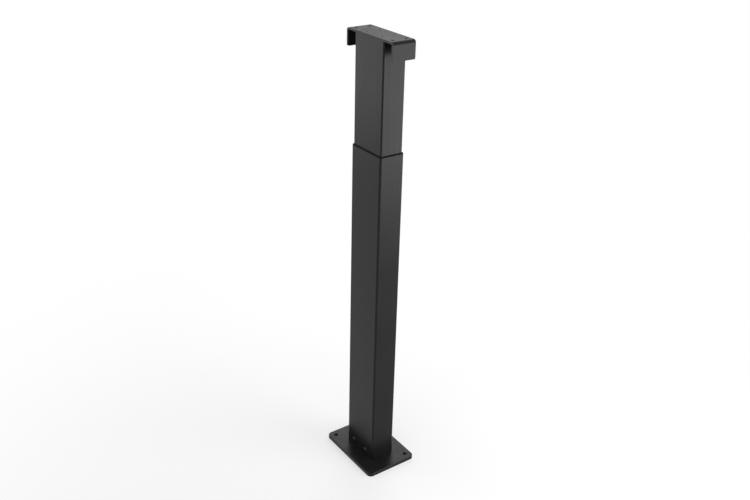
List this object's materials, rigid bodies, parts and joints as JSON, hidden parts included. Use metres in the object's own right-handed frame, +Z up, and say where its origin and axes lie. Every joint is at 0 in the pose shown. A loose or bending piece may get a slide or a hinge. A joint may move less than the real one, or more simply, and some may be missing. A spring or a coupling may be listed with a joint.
{
  "type": "lifting column",
  "caption": "Telescopic electric lifting column: a rectangular inner tube slides in a wider outer tube on a spindle drive, with a base plate below and a lipped bracket on top.",
  "frame": {"origin": "middle of the base plate's underside, on the floor", "axes": "+Z up along the travel; X across the narrow 50 mm side; -Y is the front, the lipped side seen in the picture"},
  "size_m": [0.12, 0.17, 0.933],
  "materials": {
    "black_powder_coat": "satin black powder coat with a fine texture",
    "black_plastic": "matt black moulded glide plastic",
    "black_socket_plastic": "fine-grained black moulded plastic",
    "black_screw": "black oxide screw",
    "zinc_screw": "bright zinc screw",
    "white_nut_plastic": "natural acetal plastic",
    "spindle_steel": "rolled and oiled steel",
    "bearing_steel": "ground bearing steel",
    "cage_plastic": "tan moulded nylon",
    "die_cast": "sand-grey die casting",
    "push_tube_aluminium": "drawn aluminium",
    "gear_steel": "hardened gear steel",
    "bronze": "sintered bronze",
    "motor_steel": "zinc-plated motor can",
    "rubber": "black rubber",
    "magnet": "bonded ferrite magnet",
    "board": "green circuit board",
    "contact": "plated brass contact"
  },
  "bodies": {
    "column_base": {"base_plate": "black_powder_coat", "base_screws": "zinc_screw", "foot_block": "die_cast", "push_tube_set_screws": "black_screw", "outer_tube": "black_powder_coat", "outer_tube_screws": "black_screw", "push_tube": "push_tube_aluminium", "spindle_nut": "white_nut_plastic", "nut_pins": "zinc_screw", "nut_bumper": "rubber", "glide_collar": "black_plastic"},
    "inner_column": {"inner_tube": "black_powder_coat", "glide_pads": "black_plastic", "glide_shoe": "black_plastic", "top_plate": "motor_steel", "tie_bolts": "zinc_screw", "top_bracket": "black_powder_coat", "bracket_screws": "black_screw", "motor_pad": "rubber", "motor_end_cap": "black_socket_plastic", "sensor_board": "board", "motor_can": "motor_steel", "motor_flange": "die_cast", "motor_screws": "zinc_screw", "gearbox_screws": "zinc_screw", "ring_gear": "die_cast", "bearing_block": "die_cast", "carrier_bush": "bronze", "bearing_retainer": "motor_steel", "retainer_screws": "zinc_screw", "bearing_outer_ring": "bearing_steel", "motor_socket": "black_socket_plastic", "socket_contacts": "contact"},
    "spindle_set": {"spindle": "spindle_steel", "bearing_inner_ring": "bearing_steel", "bearing_locknut": "zinc_screw", "planet_carrier": "gear_steel", "carrier_plate": "gear_steel", "planet_pins": "bearing_steel", "spindle_guide": "black_plastic", "guide_screw": "zinc_screw"},
    "ball_set": {"bearing_balls": "bearing_steel", "ball_cage": "cage_plastic"},
    "rotor": {"sun_gear": "gear_steel", "motor_shaft": "bearing_steel", "sensor_magnet": "magnet"},
    "planet_1": {"planet_gear_1": "gear_steel"},
    "planet_2": {"planet_gear_2": "gear_steel"},
    "planet_3": {"planet_gear_3": "gear_steel"}
  },
  "joints": [
    {"name": "lift", "type": "slide", "parent": "column_base", "child": "inner_column", "axis": [0, 0, 1], "range_m": [-0.174, 0.326]},
    {"name": "spindle_turn", "type": "hinge", "parent": "inner_column", "child": "spindle_set", "pos_m": [0, 0, 0.5], "axis": [0, 0, 1], "range_deg": [-15661, 29341]},
    {"name": "ball_orbit", "type": "hinge", "parent": "inner_column", "child": "ball_set", "pos_m": [0, 0, 0.7748], "axis": [0, 0, 1], "range_deg": [-5695.55, 10670.09]},
    {"name": "motor_turn", "type": "hinge", "parent": "inner_column", "child": "rotor", "pos_m": [0, 0, 0.85], "axis": [0, 0, 1], "range_deg": [-78301, 146701]},
    {"name": "planet_1_turn", "type": "hinge", "parent": "spindle_set", "child": "planet_1", "pos_m": [0.0105, 0, 0.816], "axis": [0, 0, 1], "range_deg": [-78241, 41761]},
    {"name": "planet_2_turn", "type": "hinge", "parent": "spindle_set", "child": "planet_2", "pos_m": [-0.00525, 0.00909, 0.816], "axis": [0, 0, 1], "range_deg": [-78241, 41761]},
    {"name": "planet_3_turn", "type": "hinge", "parent": "spindle_set", "child": "planet_3", "pos_m": [-0.00525, -0.00909, 0.816], "axis": [0, 0, 1], "range_deg": [-78241, 41761]}
  ],
  "couplings": [
    {"joint": "spindle_turn", "follows": "lift", "rad_per_m": 1570.8},
    {"joint": "ball_orbit", "follows": "lift", "rad_per_m": 571.2},
    {"joint": "motor_turn", "follows": "lift", "rad_per_m": 7854},
    {"joint": "planet_1_turn", "follows": "lift", "rad_per_m": -4188.8},
    {"joint": "planet_2_turn", "follows": "lift", "rad_per_m": -4188.8},
    {"joint": "planet_3_turn", "follows": "lift", "rad_per_m": -4188.8}
  ]
}
